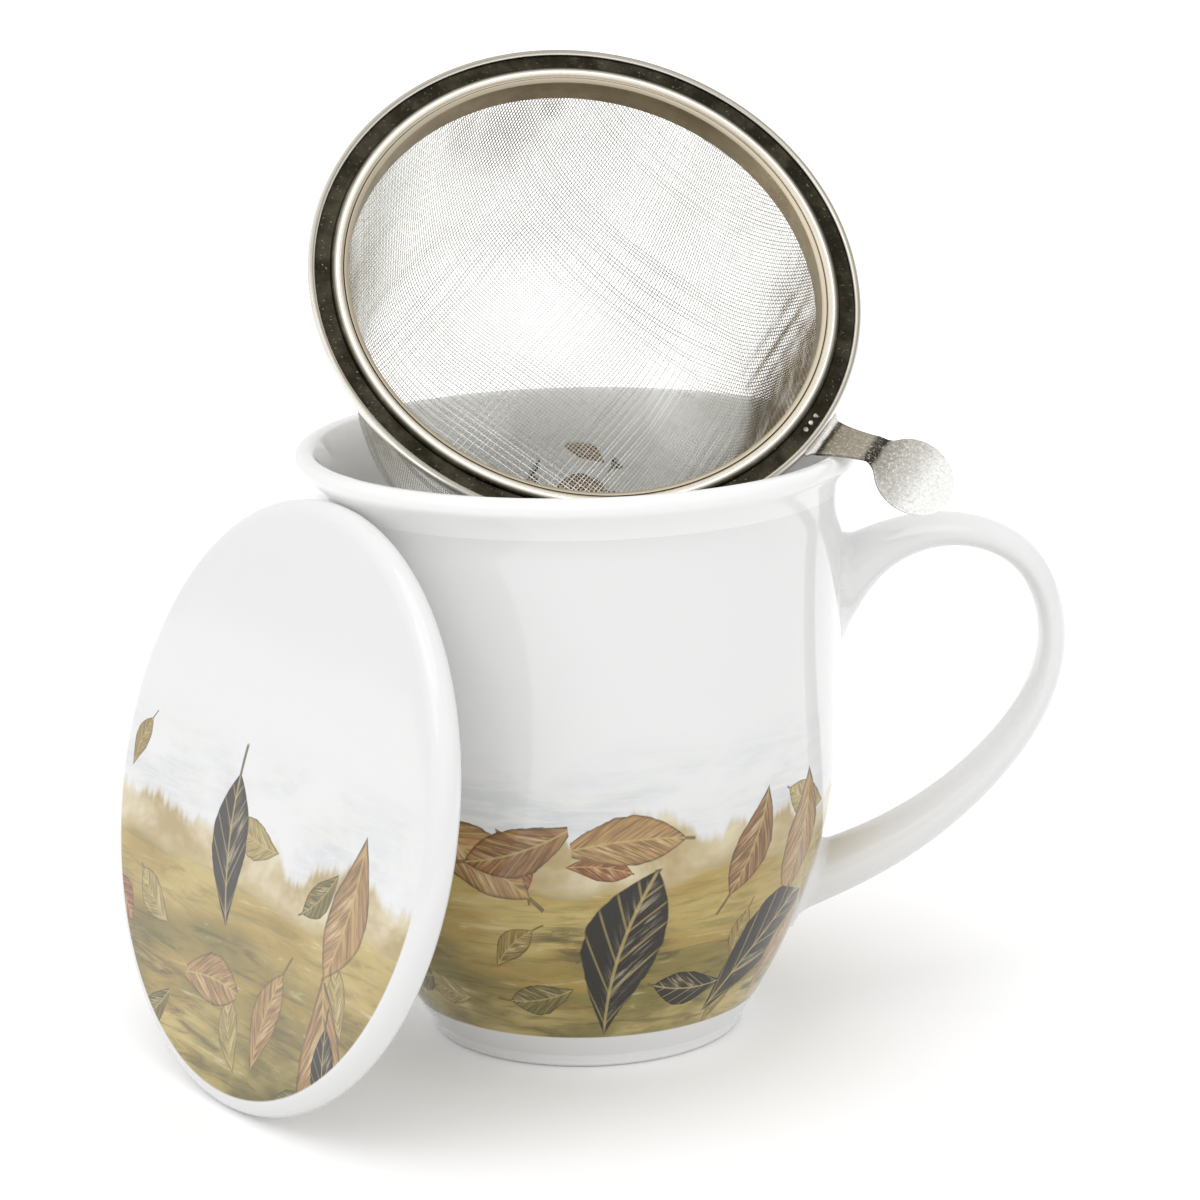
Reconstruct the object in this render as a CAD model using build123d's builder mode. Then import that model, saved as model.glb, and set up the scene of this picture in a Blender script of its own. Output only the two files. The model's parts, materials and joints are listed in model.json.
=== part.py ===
from build123d import *
from math import cos, hypot, pi, radians, sin, sqrt, tan
import os

# Tea mug with a loose porcelain lid and a steel infuser, all three resting as on a table:
# the mug stands upright, the lid stands on its edge and leans on the mug's neck,
# and the infuser lies tilted in the mouth, on the back of the rim and on its own tab.
# Millimetres, +Z up, origin at the centre of the foot ring on the table, handle along +X.

# Mug
mug_height = 101.6
rim_radius = 47.5
lip_roll = 2.0
flare_radius = 13.7
neck_radius = 44.6
belly_radius = 44.0
belly_height = 58.6
foot_radius = 26.5
foot_height = 1.2
foot_ring_width = 3.8
foot_ring_rounding = 0.9
foot_recess = 2.0
recess_draft = 20.0
wall = 3.4
floor_thickness = 4.5
floor_rounding = 9.0

# Handle
handle_reach = 35.8
handle_top_drop = 16.6
handle_root_drop = 29.3
handle_apex_height = 66.6
handle_foot_height = 24.6
handle_thickness = 5.0
handle_width = 11.0
handle_upper_root = 20.5
handle_upper_root_width = 16.0
handle_upper_swell = 4.5
handle_lower_root = 10.8
handle_lower_root_width = 13.5
handle_lower_swell = 1.4
handle_thinnest_at = 0.45
handle_sections = 11

# Infuser: a stamped ring, a band clamped inside it, and a drawn cup of woven wire between the two
flange_radius = 46.1
sheet = 0.6
bend_radius = 0.31
hem_width = 0.65
hem_height = 0.65
bead_width = 1.7
bead_height = 0.7
skirt_depth = 4.2
band_sheet = 0.35
band_depth = 4.4
band_top = 0.2
mesh_radius = 40.1
mesh_thickness = 0.35
mesh_taper = 9.7
mesh_shoulder = 6.0
basket_depth = 49.0
basket_corner = 16.0
press_gap = 0.05

# Tab: a strip under the ring, bent up and then level, ending in a round paddle
tab_thickness = 0.6
tab_lap = 2.6
tab_root_width = 10.0
tab_neck_width = 7.7
tab_arm_width = 5.4
tab_first_bend = 1.0
tab_arm_reach = 7.9
tab_arm_angle = 32.0
tab_paddle_reach = 7.8
tab_paddle_angle = -6.0
tab_bend_radius = 1.0
paddle_radius = 6.8
tab_root_rounding = 2.0
tab_paddle_rounding = 3.0
tab_heading = -41.4
weld_radius = 0.45
weld_height = 0.15
weld_pitch = 1.6
weld_count = 3

# Lid
lid_radius = 50.2
lid_thickness = 5.5
lid_ring_height = 2.4
lid_ring_width = 3.4
lid_ring_rounding = 0.6
lid_ring_clearance = 0.4

# How the loose pieces rest
rest_gap = 0.2
infuser_tilt = 49.3
infuser_heading = -77.5
infuser_side = 2.25
infuser_forward = 4.6
lid_heading = -146.6
lid_lean = 13.7
lid_offset = -1.3

rim_steps = 720
edge_steps = 6
settling_steps = 60
lid_settling_steps = 8

os.makedirs("parts", exist_ok=True)

# ---- Mug body ----
lip_centre = (rim_radius - lip_roll, mug_height - lip_roll)
flare_centre_radius = neck_radius + flare_radius
flare_run = flare_centre_radius - lip_centre[0]

# the outer flare leaves the neck upright and meets the rolled lip without a corner
outer_flare_height = lip_centre[1] - sqrt((flare_radius + lip_roll) ** 2 - flare_run**2)
outer_share = lip_roll / (flare_radius + lip_roll)
outer_blend = (
    lip_centre[0] + outer_share * flare_run,
    lip_centre[1] - outer_share * (lip_centre[1] - outer_flare_height),
)

# the inner flare has the same centre radius, one wall further in
inner_reach = flare_radius + wall - lip_roll
inner_flare_height = lip_centre[1] - sqrt(inner_reach**2 - flare_run**2)
inner_share = lip_roll / inner_reach
inner_blend = (
    lip_centre[0] - inner_share * flare_run,
    lip_centre[1] + inner_share * (lip_centre[1] - inner_flare_height),
)

# below the belly the wall is one arc that starts upright and runs down to the foot
belly_drop = belly_height - foot_height
belly_draw = belly_radius - foot_radius
belly_arc = (belly_drop**2 + belly_draw**2) / (2 * belly_draw)
floor_height = foot_recess + floor_thickness
floor_radius = belly_radius - belly_arc + sqrt((belly_arc - wall) ** 2 - (belly_height - floor_height) ** 2)

with BuildPart() as mug_blank:
    with BuildSketch(Plane.XZ):
        with BuildLine():
            Polyline((0, mug_height), (0, 0), (foot_radius, 0), (foot_radius, foot_height))
            TangentArc((belly_radius, belly_height), (foot_radius, foot_height), tangent=(0, -1))
            Line((belly_radius, belly_height), (neck_radius, outer_flare_height))
            outer_flare = TangentArc((neck_radius, outer_flare_height), outer_blend, tangent=(0, 1))
            TangentArc(outer_blend, (lip_centre[0], mug_height), tangent=outer_flare % 1)
            Line((lip_centre[0], mug_height), (0, mug_height))
        make_face()
    revolve(axis=Axis.Z)

with BuildPart() as mug_cavity:
    with BuildSketch(Plane.XZ):
        with BuildLine():
            Polyline((0, mug_height), (0, floor_height), (floor_radius, floor_height))
            TangentArc((belly_radius - wall, belly_height), (floor_radius, floor_height), tangent=(0, -1))
            Line((belly_radius - wall, belly_height), (neck_radius - wall, inner_flare_height))
            inner_flare = TangentArc((neck_radius - wall, inner_flare_height), inner_blend, tangent=(0, 1))
            TangentArc(inner_blend, (lip_centre[0], mug_height), tangent=inner_flare % 1)
            Line((lip_centre[0], mug_height), (0, mug_height))
        make_face()
    revolve(axis=Axis.Z)
    floor_edge = mug_cavity.edges().filter_by(GeomType.CIRCLE).group_by(Axis.Z)[0]
    fillet(floor_edge, floor_rounding)

with BuildPart() as mug_body:
    add(mug_blank.part)
    add(mug_cavity.part, mode=Mode.SUBTRACT)
    with BuildSketch():
        Circle(foot_radius - foot_ring_width)
    extrude(amount=foot_recess, taper=recess_draft, mode=Mode.SUBTRACT)
    foot_edges = mug_body.edges().filter_by(GeomType.CIRCLE).group_by(Axis.Z)[0]
    fillet(foot_edges, foot_ring_rounding)

# ---- Handle: oval sections along one ear-shaped line, swelling where it is luted to the wall ----
handle_apex = belly_radius + handle_reach
handle_top = mug_height - handle_top_drop
root_rise = handle_root_drop - handle_top_drop
foot_rise = handle_apex_height - handle_foot_height
with BuildLine(Plane.XZ) as handle_line:
    Spline(
        (neck_radius - 2 * wall, mug_height - handle_root_drop),
        (belly_radius + 0.15 * handle_reach, handle_top - 0.29 * root_rise),
        (belly_radius + 0.54 * handle_reach, handle_top),
        (belly_radius + 0.86 * handle_reach, handle_top - 0.26 * (handle_top - handle_apex_height)),
        (handle_apex, handle_apex_height),
        (belly_radius + 0.69 * handle_reach, handle_foot_height + 0.45 * foot_rise),
        (belly_radius + 0.08 * handle_reach, handle_foot_height + 0.08 * foot_rise),
        (belly_radius - 3.5 * wall, handle_foot_height - 0.06 * foot_rise),
        tangents=((0.8, 0.6), (-0.93, -0.37)),
    )

with BuildPart() as mug_handle:
    for index in range(handle_sections):
        station = index / (handle_sections - 1)
        if station < handle_thinnest_at:
            root, root_width = handle_upper_root, handle_upper_root_width
            swell = (1 - station / handle_thinnest_at) ** handle_upper_swell
        else:
            root, root_width = handle_lower_root, handle_lower_root_width
            swell = ((station - handle_thinnest_at) / (1 - handle_thinnest_at)) ** handle_lower_swell
        section = Plane(handle_line.line @ station, x_dir=(0, 1, 0), z_dir=handle_line.line % station)
        with BuildSketch(section):
            Ellipse(
                (handle_width + (root_width - handle_width) * swell) / 2,
                (handle_thickness + (root - handle_thickness) * swell) / 2,
            )
    loft()
    add(mug_blank.part, mode=Mode.SUBTRACT)

# ---- Where the infuser rests ----
# its axis leans forward out of the mug; level_way lies in the ring's plane and is horizontal
infuser_axis = Vector(
    sin(radians(infuser_tilt)) * cos(radians(infuser_heading)),
    sin(radians(infuser_tilt)) * sin(radians(infuser_heading)),
    cos(radians(infuser_tilt)),
)
level_way = Vector(0, 0, 1).cross(infuser_axis).normalized()
slope_way = infuser_axis.cross(level_way)
tab_way = level_way * cos(radians(tab_heading)) + slope_way * sin(radians(tab_heading))
tab_side_way = infuser_axis.cross(tab_way)

skirt_radius = mesh_radius + press_gap + sheet / 2
hem_radius = flange_radius - sheet / 2
tab_level = -hem_height - (sheet + tab_thickness) / 2
tab_bend_at = flange_radius + tab_first_bend
arm_angle = radians(tab_arm_angle)
basket_foot_radius = mesh_radius - (basket_depth - skirt_depth) * tan(radians(mesh_taper))
corner_centre_radius = basket_foot_radius - basket_corner * tan(radians((90 - mesh_taper) / 2))


def rim_clearance(ring_centre):
    """Smallest gap between the mug's rolled lip and the infuser, with its ring centred there."""
    nearest = rim_radius
    for step in range(rim_steps):
        turn = 2 * pi * step / rim_steps
        lip_point = Vector(lip_centre[0] * cos(turn), lip_centre[0] * sin(turn), lip_centre[1])
        offset_way = lip_point - ring_centre
        height = offset_way.dot(infuser_axis)
        reach = hypot(offset_way.dot(level_way), offset_way.dot(slope_way))
        corner = hypot(reach - corner_centre_radius, height + basket_depth - basket_corner) - basket_corner
        hem = hypot(reach - hem_radius + hem_width / 2, height) - hem_height - sheet
        past_bend = offset_way.dot(tab_way) - tab_bend_at
        above_bend = height - tab_level
        along_arm = past_bend * cos(arm_angle) + above_bend * sin(arm_angle)
        under_arm = past_bend * sin(arm_angle) - above_bend * cos(arm_angle)
        past_end = max(0, -along_arm, along_arm - tab_arm_reach / cos(arm_angle))
        narrowing = min(1, max(0, past_bend / tab_arm_reach)) * (tab_neck_width - tab_arm_width)
        past_side = max(0, abs(offset_way.dot(tab_side_way)) - (tab_neck_width - narrowing) / 2)
        arm = hypot(past_end, past_side, under_arm) - tab_thickness / 2
        nearest = min(nearest, corner, hem, arm)
    return nearest - lip_roll


# let it down, each time by the gap that is left, until it rests
infuser_centre = Vector(infuser_side, -infuser_forward, mug_height + flange_radius)
for step in range(settling_steps):
    infuser_centre -= Vector(0, 0, rim_clearance(infuser_centre) - rest_gap)

ring_plane = Plane(infuser_centre, x_dir=tab_way, z_dir=infuser_axis)
profile_plane = Plane(infuser_centre, x_dir=tab_way, z_dir=-tab_side_way)
infuser_turn = Axis(infuser_centre, infuser_axis)

# ---- Infuser ring: one sheet with a skirt, a raised bead, a level pan and a rolled hem ----
pan_edge = hem_radius - hem_width
with BuildPart() as infuser_rim:
    with BuildSketch(profile_plane):
        with BuildLine():
            FilletPolyline(
                (skirt_radius, -skirt_depth),
                (skirt_radius, bead_height),
                (skirt_radius + bead_width, bead_height),
                (skirt_radius + bead_width, 0),
                (pan_edge, 0),
                (pan_edge, hem_height),
                (hem_radius, hem_height),
                (hem_radius, -hem_height),
                (pan_edge, -hem_height),
                radius=bend_radius,
            )
        trace(line_width=sheet)
    revolve(axis=infuser_turn)

# ---- Infuser mesh: the drawn cup of wire cloth as a thin closed shell ----
with BuildPart() as infuser_mesh:
    with BuildSketch(profile_plane):
        with BuildLine():
            middle = mesh_radius - mesh_thickness / 2
            FilletPolyline(
                (middle, 0),
                (middle, -skirt_depth - mesh_shoulder * tan(radians(mesh_taper / 2))),
                (basket_foot_radius - mesh_thickness / 2, -basket_depth + mesh_thickness / 2),
                (0, -basket_depth + mesh_thickness / 2),
                radius=[mesh_shoulder, basket_corner - mesh_thickness / 2],
            )
        trace(line_width=mesh_thickness)
    revolve(axis=infuser_turn)

# ---- Infuser band: presses the mesh against the skirt from inside ----
band_radius = mesh_radius - mesh_thickness - press_gap - band_sheet
with BuildPart() as infuser_band:
    with BuildSketch(profile_plane):
        with Locations((band_radius + band_sheet / 2, band_top - band_depth / 2)):
            Rectangle(band_sheet, band_depth)
    revolve(axis=infuser_turn)

# ---- Infuser tab: the bent strip's side view, cut to its outline seen from above ----
crest_reach = tab_bend_at + tab_arm_reach
crest_level = tab_level + tab_arm_reach * tan(arm_angle)
paddle_reach = crest_reach + tab_paddle_reach
paddle_end = paddle_reach + paddle_radius
paddle_level = crest_level + (paddle_end - crest_reach) * tan(radians(tab_paddle_angle))
tab_start = flange_radius - tab_lap
with BuildPart() as infuser_tab:
    with BuildSketch(profile_plane):
        with BuildLine():
            FilletPolyline(
                (tab_start, tab_level),
                (tab_bend_at, tab_level),
                (crest_reach, crest_level),
                (paddle_end, paddle_level),
                radius=tab_bend_radius,
            )
        trace(line_width=tab_thickness)
    extrude(amount=paddle_radius, both=True)
    with BuildSketch(ring_plane.offset(-flange_radius)) as tab_outline:
        with BuildLine():
            Polyline(
                (tab_start, -tab_root_width / 2),
                (flange_radius, -tab_root_width / 2),
                (tab_bend_at, -tab_neck_width / 2),
                (crest_reach, -tab_arm_width / 2),
                (paddle_reach, -tab_arm_width / 2),
                (paddle_reach, tab_arm_width / 2),
                (crest_reach, tab_arm_width / 2),
                (tab_bend_at, tab_neck_width / 2),
                (flange_radius, tab_root_width / 2),
                (tab_start, tab_root_width / 2),
                close=True,
            )
        make_face()
        with Locations((paddle_reach, 0)):
            Circle(paddle_radius)
        corners = tab_outline.vertices().group_by(Axis.X)
        fillet(corners[2], tab_root_rounding)
        fillet(corners[4], tab_paddle_rounding)
    extrude(amount=2 * flange_radius, mode=Mode.INTERSECT)

# ---- Weld spots that hold the tab, seen as low domes on the pan ----
pan_middle = (skirt_radius + bead_width + pan_edge) / 2
with BuildPart() as infuser_welds:
    for index in range(weld_count):
        across = (index - (weld_count - 1) / 2) * weld_pitch
        with BuildSketch(ring_plane.offset(sheet / 2)):
            with Locations((pan_middle, across)):
                Circle(weld_radius)
        extrude(amount=weld_height, taper=recess_draft)

# ---- Lid: a flat disc with a round edge and a locating ring that drops inside the band ----
lid_ring_radius = band_radius - lid_ring_clearance
edge_radius = lid_thickness / 2
lid_away = Vector(cos(radians(lid_heading)), sin(radians(lid_heading)), 0)
lid_face_way = lid_away * cos(radians(lid_lean)) + Vector(0, 0, sin(radians(lid_lean)))
lid_side_way = Vector(0, 0, 1).cross(lid_away)
lid_up_way = lid_face_way.cross(lid_side_way)
lid_centre_height = edge_radius + (lid_radius - edge_radius) * cos(radians(lid_lean))


def mug_radius(height):
    """Outer radius of the mug at that height, no less than the belly's below the belly."""
    if height > outer_blend[1]:
        return lip_centre[0] + sqrt(max(0, lip_roll**2 - (height - lip_centre[1]) ** 2))
    if height > outer_flare_height:
        return flare_centre_radius - sqrt(flare_radius**2 - (height - outer_flare_height) ** 2)
    climb = max(0, height - belly_height) / (outer_flare_height - belly_height)
    return belly_radius + climb * (neck_radius - belly_radius)


def lid_clearance(middle):
    """Smallest gap, level with the table, between the mug and the lid with its middle there."""
    nearest = rim_radius
    for step in range(rim_steps):
        turn = 2 * pi * step / rim_steps
        spoke = lid_side_way * cos(turn) + lid_up_way * sin(turn)
        spots = [middle + spoke * lid_ring_radius - lid_face_way * (edge_radius + lid_ring_height)]
        for index in range(edge_steps + 1):
            round_turn = pi / 2 * index / edge_steps
            way = spoke * cos(round_turn) - lid_face_way * sin(round_turn)
            spots.append(middle + spoke * (lid_radius - edge_radius) + way * edge_radius)
        for spot in spots:
            if spot.Z < mug_height:
                nearest = min(nearest, hypot(spot.X, spot.Y) - mug_radius(spot.Z))
    return nearest


lid_centre = lid_away * (rim_radius + lid_radius) - lid_side_way * lid_offset
lid_centre += Vector(0, 0, lid_centre_height)
for step in range(lid_settling_steps):
    lid_centre -= lid_away * (lid_clearance(lid_centre) - rest_gap)

lid_profile_plane = Plane(lid_centre, x_dir=lid_side_way, z_dir=lid_side_way.cross(lid_face_way))
with BuildPart() as lid:
    with BuildSketch(lid_profile_plane):
        with BuildLine():
            Line((0, -edge_radius), (0, edge_radius))
            Line((0, edge_radius), (lid_radius - edge_radius, edge_radius))
            ThreePointArc(
                (lid_radius - edge_radius, edge_radius),
                (lid_radius, 0),
                (lid_radius - edge_radius, -edge_radius),
            )
            Line((lid_radius - edge_radius, -edge_radius), (0, -edge_radius))
        make_face()
        ring_middle = lid_ring_radius - lid_ring_width / 2
        with Locations((ring_middle, -edge_radius - lid_ring_height / 2)):
            Rectangle(lid_ring_width, lid_ring_height)
    revolve(axis=Axis(lid_centre, lid_face_way))
    ring_foot = lid.faces().filter_by(GeomType.PLANE).sort_by(Axis(lid_centre, lid_face_way))[0]
    fillet(ring_foot.edges(), lid_ring_rounding)

pieces = {
    "mug_body": mug_body,
    "mug_handle": mug_handle,
    "infuser_rim": infuser_rim,
    "infuser_band": infuser_band,
    "infuser_mesh": infuser_mesh,
    "infuser_tab": infuser_tab,
    "infuser_welds": infuser_welds,
    "lid": lid,
}
for name, piece in pieces.items():
    piece.part.label = name
    export_step(piece.part, f"parts/{name}.step")

print("infuser centre", infuser_centre)
print("lid centre", lid_centre)
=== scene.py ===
import bpy
import json
from math import asin, atan2, cos, degrees, hypot, pi, radians, sin, sqrt, tan
from mathutils import Matrix, Vector

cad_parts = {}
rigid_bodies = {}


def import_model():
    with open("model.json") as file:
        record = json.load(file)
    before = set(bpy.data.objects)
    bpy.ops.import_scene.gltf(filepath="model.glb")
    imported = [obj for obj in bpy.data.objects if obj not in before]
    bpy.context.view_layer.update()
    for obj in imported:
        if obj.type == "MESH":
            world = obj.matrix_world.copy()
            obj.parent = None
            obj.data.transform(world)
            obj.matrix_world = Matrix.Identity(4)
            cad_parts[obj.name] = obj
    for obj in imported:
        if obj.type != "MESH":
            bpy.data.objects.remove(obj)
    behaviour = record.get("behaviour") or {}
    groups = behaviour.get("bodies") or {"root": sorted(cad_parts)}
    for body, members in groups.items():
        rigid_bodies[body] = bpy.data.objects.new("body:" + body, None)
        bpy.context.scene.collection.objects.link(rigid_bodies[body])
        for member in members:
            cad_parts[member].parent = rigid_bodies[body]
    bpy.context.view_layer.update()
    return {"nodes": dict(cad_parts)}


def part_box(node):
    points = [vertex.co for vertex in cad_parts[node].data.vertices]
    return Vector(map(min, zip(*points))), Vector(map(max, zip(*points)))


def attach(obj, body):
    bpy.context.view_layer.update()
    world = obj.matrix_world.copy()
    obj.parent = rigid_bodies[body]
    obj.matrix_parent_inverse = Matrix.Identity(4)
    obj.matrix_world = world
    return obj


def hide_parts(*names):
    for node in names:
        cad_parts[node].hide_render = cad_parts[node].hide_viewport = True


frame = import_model()
mm = 0.001
print("frame loaded:", sorted(frame["nodes"]))


def arcPoints(centre, radius, start, end, count):
    # points along an arc in the (radius, height) plane, angles in degrees
    out = []
    for i in range(count + 1):
        a = radians(start + (end - start) * i / count)
        out.append((centre[0] + radius * cos(a), centre[1] + radius * sin(a)))
    return out


def startFresh():
    if bpy.context.object and bpy.context.object.mode != "OBJECT":
        bpy.ops.object.mode_set(mode="OBJECT")
    bpy.ops.object.select_all(action="DESELECT")


def pickUp(piece):
    startFresh()
    piece.select_set(True)
    bpy.context.view_layer.objects.active = piece


def finishPiece(piece, material, body, node, smooth):
    # its material, its shading angle in degrees, the body that it rides on and the node that it stands for
    piece.data.materials.append(material)
    pickUp(piece)
    bpy.ops.object.shade_smooth_by_angle(angle=radians(smooth))
    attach(piece, body)
    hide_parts(node)


def turnedPiece(name, profile, steps, loop=False):
    # a lathe-turned mesh: one circle, extruded ring by ring along the profile (radius, height) in mm
    startFresh()
    r0, z0 = profile[0]
    fill = "NOTHING" if loop else "TRIFAN"
    bpy.ops.mesh.primitive_circle_add(vertices=steps, radius=r0 * mm, location=(0, 0, z0 * mm),
                                      fill_type=fill)
    piece = bpy.context.object
    piece.name = name
    bpy.ops.object.transform_apply(location=True, rotation=True, scale=True)
    bpy.ops.object.mode_set(mode="EDIT")
    bpy.ops.mesh.select_all(action="SELECT")
    if not loop:
        bpy.ops.mesh.region_to_loop()
    for (r1, z1), (r2, z2) in zip(profile, profile[1:]):
        bpy.ops.mesh.extrude_edges_move(TRANSFORM_OT_translate={"value": (0, 0, (z2 - z1) * mm)})
        bpy.ops.transform.resize(value=(r2 / r1, r2 / r1, 1), center_override=(0, 0, 0))
    if not loop:
        bpy.ops.mesh.edge_face_add()
        bpy.ops.mesh.poke()
    bpy.ops.mesh.select_all(action="SELECT")
    bpy.ops.mesh.remove_doubles(threshold=0.000002)
    bpy.ops.mesh.normals_make_consistent(inside=False)
    bpy.ops.object.mode_set(mode="OBJECT")
    return piece


def polarMap(piece):
    # two maps in the piece's own frame, in metres: angle with radius, and radius with height
    perTurn = 0.04
    polar = piece.data.uv_layers.new(name="polar")
    section = piece.data.uv_layers.new(name="section")
    for face in piece.data.polygons:
        spots = [piece.data.vertices[v].co for v in face.vertices]
        turns = [atan2(spot.y, spot.x) for spot in spots]
        wraps = max(turns) - min(turns) > pi
        for corner, spot, turn in zip(face.loop_indices, spots, turns):
            if wraps and turn < 0:
                turn += 2 * pi
            radius = hypot(spot.x, spot.y)
            polar.data[corner].uv = (turn * perTurn, radius)
            section.data[corner].uv = (radius, spot.z)


def flatMap(piece):
    layer = piece.data.uv_layers.new(name="face")
    for loop in piece.data.loops:
        spot = piece.data.vertices[loop.vertex_index].co
        layer.data[loop.index].uv = (spot.x, spot.y)


def place(piece, matrix):
    piece.data.transform(matrix)
    piece.data.update()


# nodes: the calls below each add one node or a few, and give back the socket that carries the result

def newMaterial(name, **settings):
    material = bpy.data.materials.new(name)
    material.use_nodes = True
    shader = material.node_tree.nodes["Principled BSDF"]
    for key, value in settings.items():
        shader.inputs[key.replace("_", " ")].default_value = value
    return material, material.node_tree, shader


def put(tree, kind, inputs=None, **settings):
    # adds a node; inputs are values or sockets to link from, by index or by name
    made = tree.nodes.new(kind)
    for key, value in settings.items():
        setattr(made, key, value)
    for key, value in (inputs or {}).items():
        if isinstance(value, bpy.types.NodeSocket):
            tree.links.new(value, made.inputs[key])
        else:
            made.inputs[key].default_value = value
    return made


def calc(tree, how, a, b=0.0, c=0.0):
    return put(tree, "ShaderNodeMath", {0: a, 1: b, 2: c}, operation=how).outputs[0]


def times(tree, a, b, *more):
    made = calc(tree, "MULTIPLY", a, b)
    return times(tree, made, *more) if more else made


def scaleAdd(tree, value, scale, added):
    return calc(tree, "MULTIPLY_ADD", value, scale, added)


def vectorCalc(tree, how, a, b=(0, 0, 0)):
    made = put(tree, "ShaderNodeVectorMath", {0: a, 1: b}, operation=how)
    return made.outputs["Value" if how in ("LENGTH", "DISTANCE") else "Vector"]


def axisOf(tree, vector, index):
    return put(tree, "ShaderNodeSeparateXYZ", {0: vector}).outputs[index]


def vectorOf(tree, *parts):
    return put(tree, "ShaderNodeCombineXYZ", dict(enumerate(parts))).outputs[0]


def objectSpot(tree):
    return put(tree, "ShaderNodeTexCoord").outputs["Object"]


def mapSpot(tree, name):
    return put(tree, "ShaderNodeUVMap", uv_map=name).outputs[0]


def markOf(tree, name):
    return put(tree, "ShaderNodeAttribute", attribute_name=name).outputs["Fac"]


def ease(tree, value, low, high):
    # 0 below low, 1 above high, soft between; low above high turns it round
    made = put(tree, "ShaderNodeMapRange", {"Value": value, "From Min": low, "From Max": high},
               interpolation_type="SMOOTHSTEP", clamp=True)
    return made.outputs["Result"]


def blendColour(tree, factor, a, b):
    made = put(tree, "ShaderNodeMix", {0: factor}, data_type="RGBA")
    for index, value in ((6, a), (7, b)):
        if isinstance(value, bpy.types.NodeSocket):
            tree.links.new(value, made.inputs[index])
        else:
            made.inputs[index].default_value = (*value, 1)
    return made.outputs[2]


def brushOn(tree, under, over, value, low, high, most=1.0):
    # one colour over another, from none where the value is low to the most where it is high
    mask = ease(tree, value, low, high)
    return blendColour(tree, mask if most == 1.0 else times(tree, mask, most), under, over)


def grain(tree, vector, scale, detail=4.0, rough=0.55, distort=0.0):
    made = put(tree, "ShaderNodeTexNoise", {"Vector": vector, "Scale": scale, "Detail": detail,
                                           "Roughness": rough, "Distortion": distort})
    return made.outputs["Fac"]


def stretched(tree, vector, scale, shift=(0, 0, 0), turn=0.0):
    settings = {"Vector": vector, "Scale": scale, "Location": shift, "Rotation": (0, 0, turn)}
    return put(tree, "ShaderNodeMapping", settings).outputs[0]


def colourRamp(tree, value, how, stops):
    # stops are rising places from 0 to 1, each with its colour
    ramp = put(tree, "ShaderNodeValToRGB", {"Fac": value})
    ramp.color_ramp.interpolation = how
    for index, (spot, colour) in enumerate(stops):
        stop = ramp.color_ramp.elements[index] if index < 2 else ramp.color_ramp.elements.new(spot)
        stop.position = spot
        stop.color = (*colour, 1)
    return ramp.outputs[0]


def rampBy(tree, value, low, high, stops):
    # colours placed between low and high of a value
    settings = {"Value": value, "From Min": low, "From Max": high}
    share = put(tree, "ShaderNodeMapRange", settings, clamp=True).outputs["Result"]
    return colourRamp(tree, share, "EASE", stops)


def feed(tree, shader, **sockets):
    for key, value in sockets.items():
        tree.links.new(value, shader.inputs[key.replace("_", " ")])


def bumpFrom(tree, shader, height, strength, depth):
    bump = put(tree, "ShaderNodeBump", {"Height": height, "Strength": strength, "Distance": depth})
    feed(tree, shader, Normal=bump.outputs[0])


def seenPlainly(tree):
    # 1 for what the camera sees, also in gloss or through glass, and 0 for light that falls on the pieces
    rays = put(tree, "ShaderNodeLightPath")
    seen = calc(tree, "MAXIMUM", rays.outputs["Is Camera Ray"], rays.outputs["Is Glossy Ray"])
    return calc(tree, "MAXIMUM", seen, rays.outputs["Is Transmission Ray"])


# the painted print on the porcelain: autumn leaves over a meadow
printColours = {
    "bay": (0.40, 0.20, 0.075), "chestnut": (0.55, 0.32, 0.125), "rust": (0.42, 0.15, 0.05),
    "umber": (0.016, 0.012, 0.006), "ochre": (0.42, 0.29, 0.075), "straw": (0.56, 0.435, 0.155),
    "olive": (0.235, 0.19, 0.045), "moss": (0.08, 0.062, 0.018), "haze": (0.52, 0.55, 0.60),
    "cream": (0.76, 0.67, 0.44), "mist": (0.74, 0.74, 0.70),
}
# a leaf's form: along runs from -1 to 1 over its length, across from its midrib to its side
leafForm = {
    "loose": 0.55, "smallest": 0.78, "sizeSpread": 0.4, "bow": 0.25, "blunt": 1.8, "full": 0.86,
    "taper": 0.36, "ragged": 0.30, "stalkEnd": -1.40, "stalkHalf": 0.09, "veinSlant": 0.75, "veins": 17.0,
}
# cell, length and width in metres, shift, share of cells that take part, the lowest height, how far above
# the ground's top the highest lie, and the colours
leafLayers = (
    (0.0150, 0.0130, 0.0066, (0.311, 0.127), 0.50, 0.008, 0.008, ("straw", "ochre", "rust", "olive")),
    (0.0300, 0.0300, 0.0150, (0.173, 0.291), 0.86, 0.012, 0.006,
     ("bay", "umber", "chestnut", "chestnut", "bay")),
    (0.0210, 0.0195, 0.0092, (0.417, 0.533), 0.50, 0.010, 0.010, ("umber", "chestnut", "rust", "bay")),
)
# how far each roll of the ground lies below the top, and its light and dark colours
groundRolls = (
    (-0.006, "straw", "ochre", "olive"), (-0.018, "ochre", "olive", "moss"),
    (-0.030, "straw", "olive", "moss"), (-0.041, "olive", "moss", "moss"),
)

# heights in metres: the far haze over the ground's top, and how far bushes and rolls swing and soften
meadow = {
    "hazeTop": 0.020, "hazeFoot": 0.004, "hazeInk": 0.55, "bushSwing": 0.030, "bushEdge": 0.0015,
    "bushInk": 0.9, "rollSwing": 0.026, "rollEdge": 0.004, "driftTop": -0.008, "driftFoot": -0.016,
    "driftInk": 0.7,
}


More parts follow.
